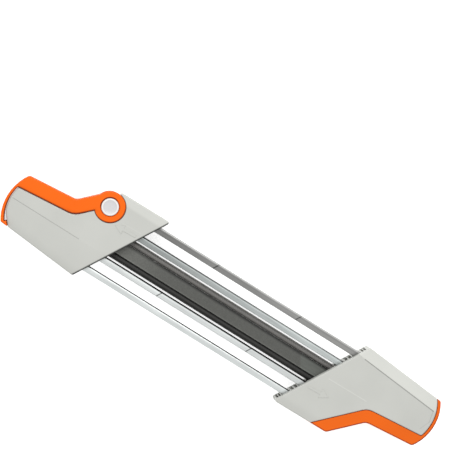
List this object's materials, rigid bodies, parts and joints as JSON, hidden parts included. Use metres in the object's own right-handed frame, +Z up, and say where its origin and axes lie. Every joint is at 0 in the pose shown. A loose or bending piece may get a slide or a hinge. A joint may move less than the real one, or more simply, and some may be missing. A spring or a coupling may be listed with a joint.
{
  "type": "chainsaw file guide",
  "caption": "Slanted handles on steel rails hold round files beside a flat file; a lever swings open to unclamp one handle, which pulls off the rails.",
  "frame": {"origin": "middle of the guide, on the plane under its handles", "axes": "+X along the guide to the fixed handle, +Y across it, +Z up through the face with the lever's ring"},
  "size_m": [0.3838, 0.0758, 0.0269],
  "materials": {
    "light_grey_plastic": "matte light grey",
    "orange_plastic": "satin orange",
    "white_plastic": "satin white",
    "dark_plastic": "matte near black",
    "bright_steel": "bright drawn steel",
    "file_steel": "dark hardened steel with fine teeth",
    "zinc_steel": "zinc plated"
  },
  "bodies": {
    "fixed_handle": {"fixed_handle_upper_shell": "light_grey_plastic", "fixed_handle_lower_shell": "light_grey_plastic", "fixed_handle_grip_band": "orange_plastic", "fixed_handle_file_holder": "dark_plastic", "fixed_handle_screw_1": "zinc_steel", "fixed_handle_screw_2": "zinc_steel", "fixed_handle_screw_3": "zinc_steel", "outer_rail_low": "bright_steel", "inner_rail_low": "bright_steel", "inner_rail_high": "bright_steel", "outer_rail_high": "bright_steel", "flat_file": "file_steel"},
    "lever_handle": {"lever_handle_upper_shell": "light_grey_plastic", "lever_handle_lower_shell": "light_grey_plastic", "lever_handle_file_holder": "dark_plastic", "lever_handle_screw_1": "zinc_steel", "lever_handle_screw_2": "zinc_steel", "lever_handle_screw_3": "zinc_steel"},
    "lever": {"lever": "orange_plastic", "cam_shaft": "zinc_steel", "pivot_cap": "white_plastic"},
    "clamp_bar": {"clamp_bar": "zinc_steel"},
    "round_file_low": {"round_file_low": "file_steel"},
    "round_file_high": {"round_file_high": "file_steel"}
  },
  "joints": [
    {"name": "lever_handle_slide", "type": "slide", "parent": "fixed_handle", "child": "lever_handle", "axis": [-1, 0, 0], "range_m": [0, 0.03]},
    {"name": "lever_swing", "type": "hinge", "parent": "lever_handle", "child": "lever", "pos_m": [-0.11877, 0.02323, 0.013], "axis": [0, 0, -1], "range_deg": [0, 65]},
    {"name": "clamp_bar_slide", "type": "slide", "parent": "lever_handle", "child": "clamp_bar", "axis": [0, 1, 0], "range_m": [0, 0.0015]},
    {"name": "round_file_low_turn", "type": "hinge", "parent": "fixed_handle", "child": "round_file_low", "pos_m": [-0.00456, -0.0079, 0.01285], "axis": [1, 0, 0], "continuous": true},
    {"name": "round_file_high_turn", "type": "hinge", "parent": "fixed_handle", "child": "round_file_high", "pos_m": [0.00456, 0.0079, 0.01285], "axis": [1, 0, 0], "continuous": true}
  ],
  "couplings": [
    {"joint": "clamp_bar_slide", "follows": "lever_swing", "m_per_rad": 0.001322}
  ]
}
